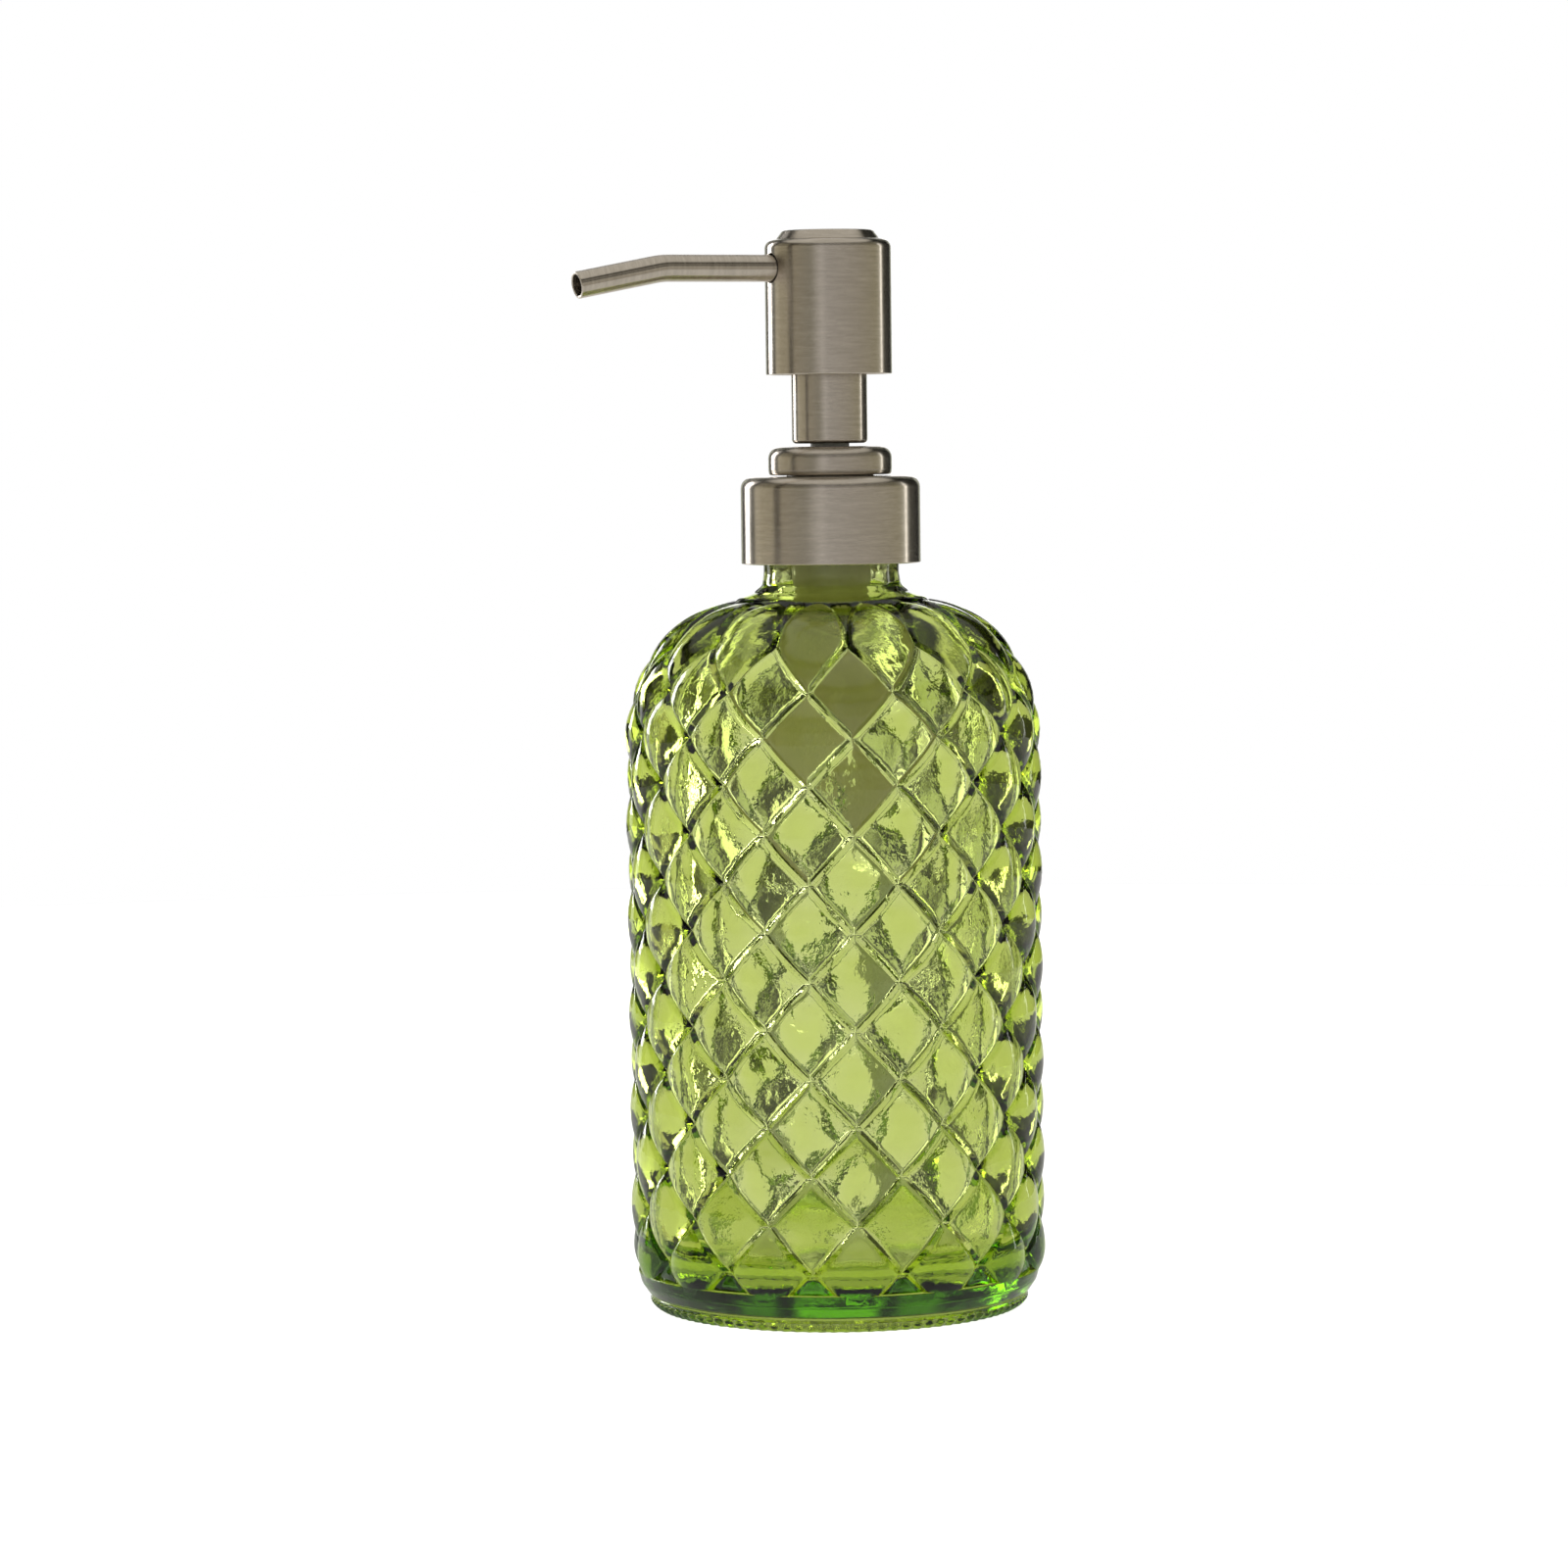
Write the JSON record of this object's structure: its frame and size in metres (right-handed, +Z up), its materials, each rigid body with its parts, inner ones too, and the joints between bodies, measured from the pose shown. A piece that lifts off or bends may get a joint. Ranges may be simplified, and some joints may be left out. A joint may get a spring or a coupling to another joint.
{
  "type": "soap pump dispenser",
  "caption": "Free-standing soap dispenser: quilted pressed-glass bottle with a screw-on metal lotion pump, press-down turning head and bent side spout.",
  "frame": {"origin": "on the bottle's axis, in the plane it stands on", "axes": "+Z up along the bottle's axis, -X the way the spout points at rest"},
  "size_m": [0.0893, 0.0772, 0.2],
  "materials": {
    "green_glass": "clear pressed glass, lime green",
    "brushed_nickel": "satin, fine brushing around the axis",
    "bright_steel": "plain drawn steel",
    "white_plastic": "moulded, satin",
    "housing_plastic": "moulded, satin",
    "tube_plastic": "extruded, slightly cloudy",
    "black_rubber": "matt"
  },
  "bodies": {
    "bottle": {"bottle": "green_glass"},
    "pump_body": {"housing": "housing_plastic", "neck_gasket": "black_rubber", "dip_tube": "tube_plastic", "ball_cage": "white_plastic", "return_spring": "bright_steel", "stem_guide_bush": "white_plastic", "stem_seal": "black_rubber", "chaplet": "white_plastic", "boss_cover": "brushed_nickel"},
    "collar": {"collar_shell": "brushed_nickel", "collar_insert": "white_plastic"},
    "piston": {"piston": "white_plastic"},
    "plunger": {"stem": "white_plastic", "stem_sleeve": "brushed_nickel", "piston_seat": "white_plastic", "head_core": "white_plastic", "head_shell": "brushed_nickel", "spout_tube": "brushed_nickel", "spout_seal": "black_rubber"},
    "inlet_ball": {"inlet_ball": "bright_steel"}
  },
  "joints": [
    {"name": "pump_rise", "type": "slide", "parent": "bottle", "child": "pump_body", "axis": [0, 0, 1], "range_m": [0, 0.00529]},
    {"name": "collar_turn", "type": "hinge", "parent": "pump_body", "child": "collar", "pos_m": [0, 0, 0.1465], "axis": [0, 0, 1], "range_deg": [0, 450]},
    {"name": "pump_press", "type": "slide", "parent": "pump_body", "child": "piston", "axis": [0, 0, -1], "range_m": [0, 0.0125], "stiffness_N_per_m": 400, "springref_m": -0.02, "deforming": ["return_spring"]},
    {"name": "head_turn", "type": "hinge", "parent": "piston", "child": "plunger", "pos_m": [0, 0, 0.17], "axis": [0, 0, 1], "continuous": true},
    {"name": "inlet_ball_lift", "type": "slide", "parent": "pump_body", "child": "inlet_ball", "axis": [0, 0, 1], "range_m": [0, 0.0015]}
  ],
  "couplings": [
    {"joint": "collar_turn", "follows": "pump_rise", "rad_per_m": 1484.3}
  ]
}
